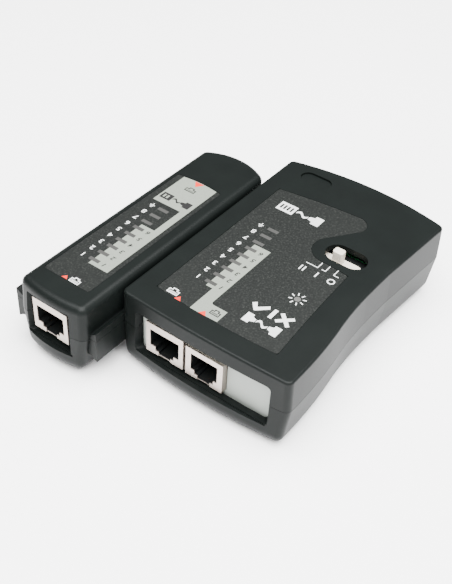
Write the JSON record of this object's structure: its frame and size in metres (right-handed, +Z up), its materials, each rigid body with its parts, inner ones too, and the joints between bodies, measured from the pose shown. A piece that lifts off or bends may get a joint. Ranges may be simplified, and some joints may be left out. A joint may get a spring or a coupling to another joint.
{
  "type": "network cable tester",
  "caption": "Two-piece network cable tester: a flat master unit with two modular jacks, a slide switch and status lights, and a slim remote unit docked on its side on a dovetail rail.",
  "frame": {"origin": "middle of the master unit's flat base, on the surface it lies on", "axes": "+Z up out of the labelled face, +X to the right with the jack end facing the viewer, +Y towards the far end; the remote is on the -X side"},
  "size_m": [0.1062, 0.1279, 0.0324],
  "materials": {
    "case": "charcoal black, fine texture",
    "label": "dark grey pebbled film with light grey print",
    "light_window": "smoked film",
    "power_window": "milky film",
    "panel": "light grey, satin",
    "jack_shield": "tinned steel sheet",
    "jack_insert": "black",
    "contact": "gold plated",
    "circuit_board": "green solder mask",
    "status_led": "green tinted",
    "power_led": "red tinted",
    "chip": "black",
    "leg": "tinned",
    "resistor": "beige lacquer",
    "diode": "orange glass with black band",
    "capacitor": "dark blue sleeve",
    "switch_frame": "black",
    "knob": "cream white, satin",
    "screw": "zinc plated",
    "battery": "painted steel jacket",
    "battery_stud": "nickel plated",
    "snap": "black vinyl",
    "red_wire": "red insulation",
    "black_wire": "black insulation"
  },
  "bodies": {
    "master": {"battery": "battery", "battery_lead_black": "black_wire", "battery_lead_red": "red_wire", "battery_snap": "snap", "battery_terminals": "battery_stud", "master_board_screws": "screw", "master_bottom_shell": "case", "master_capacitor": "capacitor", "master_case_screws": "screw", "master_chip_legs": "leg", "master_circuit_board": "circuit_board", "master_control_chip": "chip", "master_end_panel": "panel", "master_label": "label", "master_light_windows": "light_window", "master_power_led": "power_led", "master_power_window": "power_window", "master_resistors": "resistor", "master_rj11_contacts": "contact", "master_rj11_insert": "jack_insert", "master_rj11_shield": "jack_shield", "master_rj45_contacts": "contact", "master_rj45_insert": "jack_insert", "master_rj45_shield": "jack_shield", "master_status_leds": "status_led", "master_switch_frame": "switch_frame", "master_switch_terminals": "leg", "master_top_shell": "case"},
    "remote": {"remote_board_screws": "screw", "remote_bottom_shell": "case", "remote_case_screws": "screw", "remote_circuit_board": "circuit_board", "remote_diodes": "diode", "remote_label": "label", "remote_light_windows": "light_window", "remote_rj11_contacts": "contact", "remote_rj11_insert": "jack_insert", "remote_rj11_shield": "jack_shield", "remote_rj45_contacts": "contact", "remote_rj45_insert": "jack_insert", "remote_rj45_shield": "jack_shield", "remote_status_leds": "status_led", "remote_top_shell": "case"},
    "switch": {"master_switch_knob": "knob"},
    "door": {"battery_door": "case"}
  },
  "joints": [
    {"name": "remote_slide", "type": "slide", "parent": "master", "child": "remote", "axis": [0, 1, 0], "range_m": [-0.11, 0.018]},
    {"name": "switch_slide", "type": "slide", "parent": "master", "child": "switch", "axis": [1, 0, 0], "range_m": [0, 0.0066]},
    {"name": "battery_door_slide", "type": "slide", "parent": "master", "child": "door", "axis": [0, 1, 0], "range_m": [0, 0.045]}
  ]
}
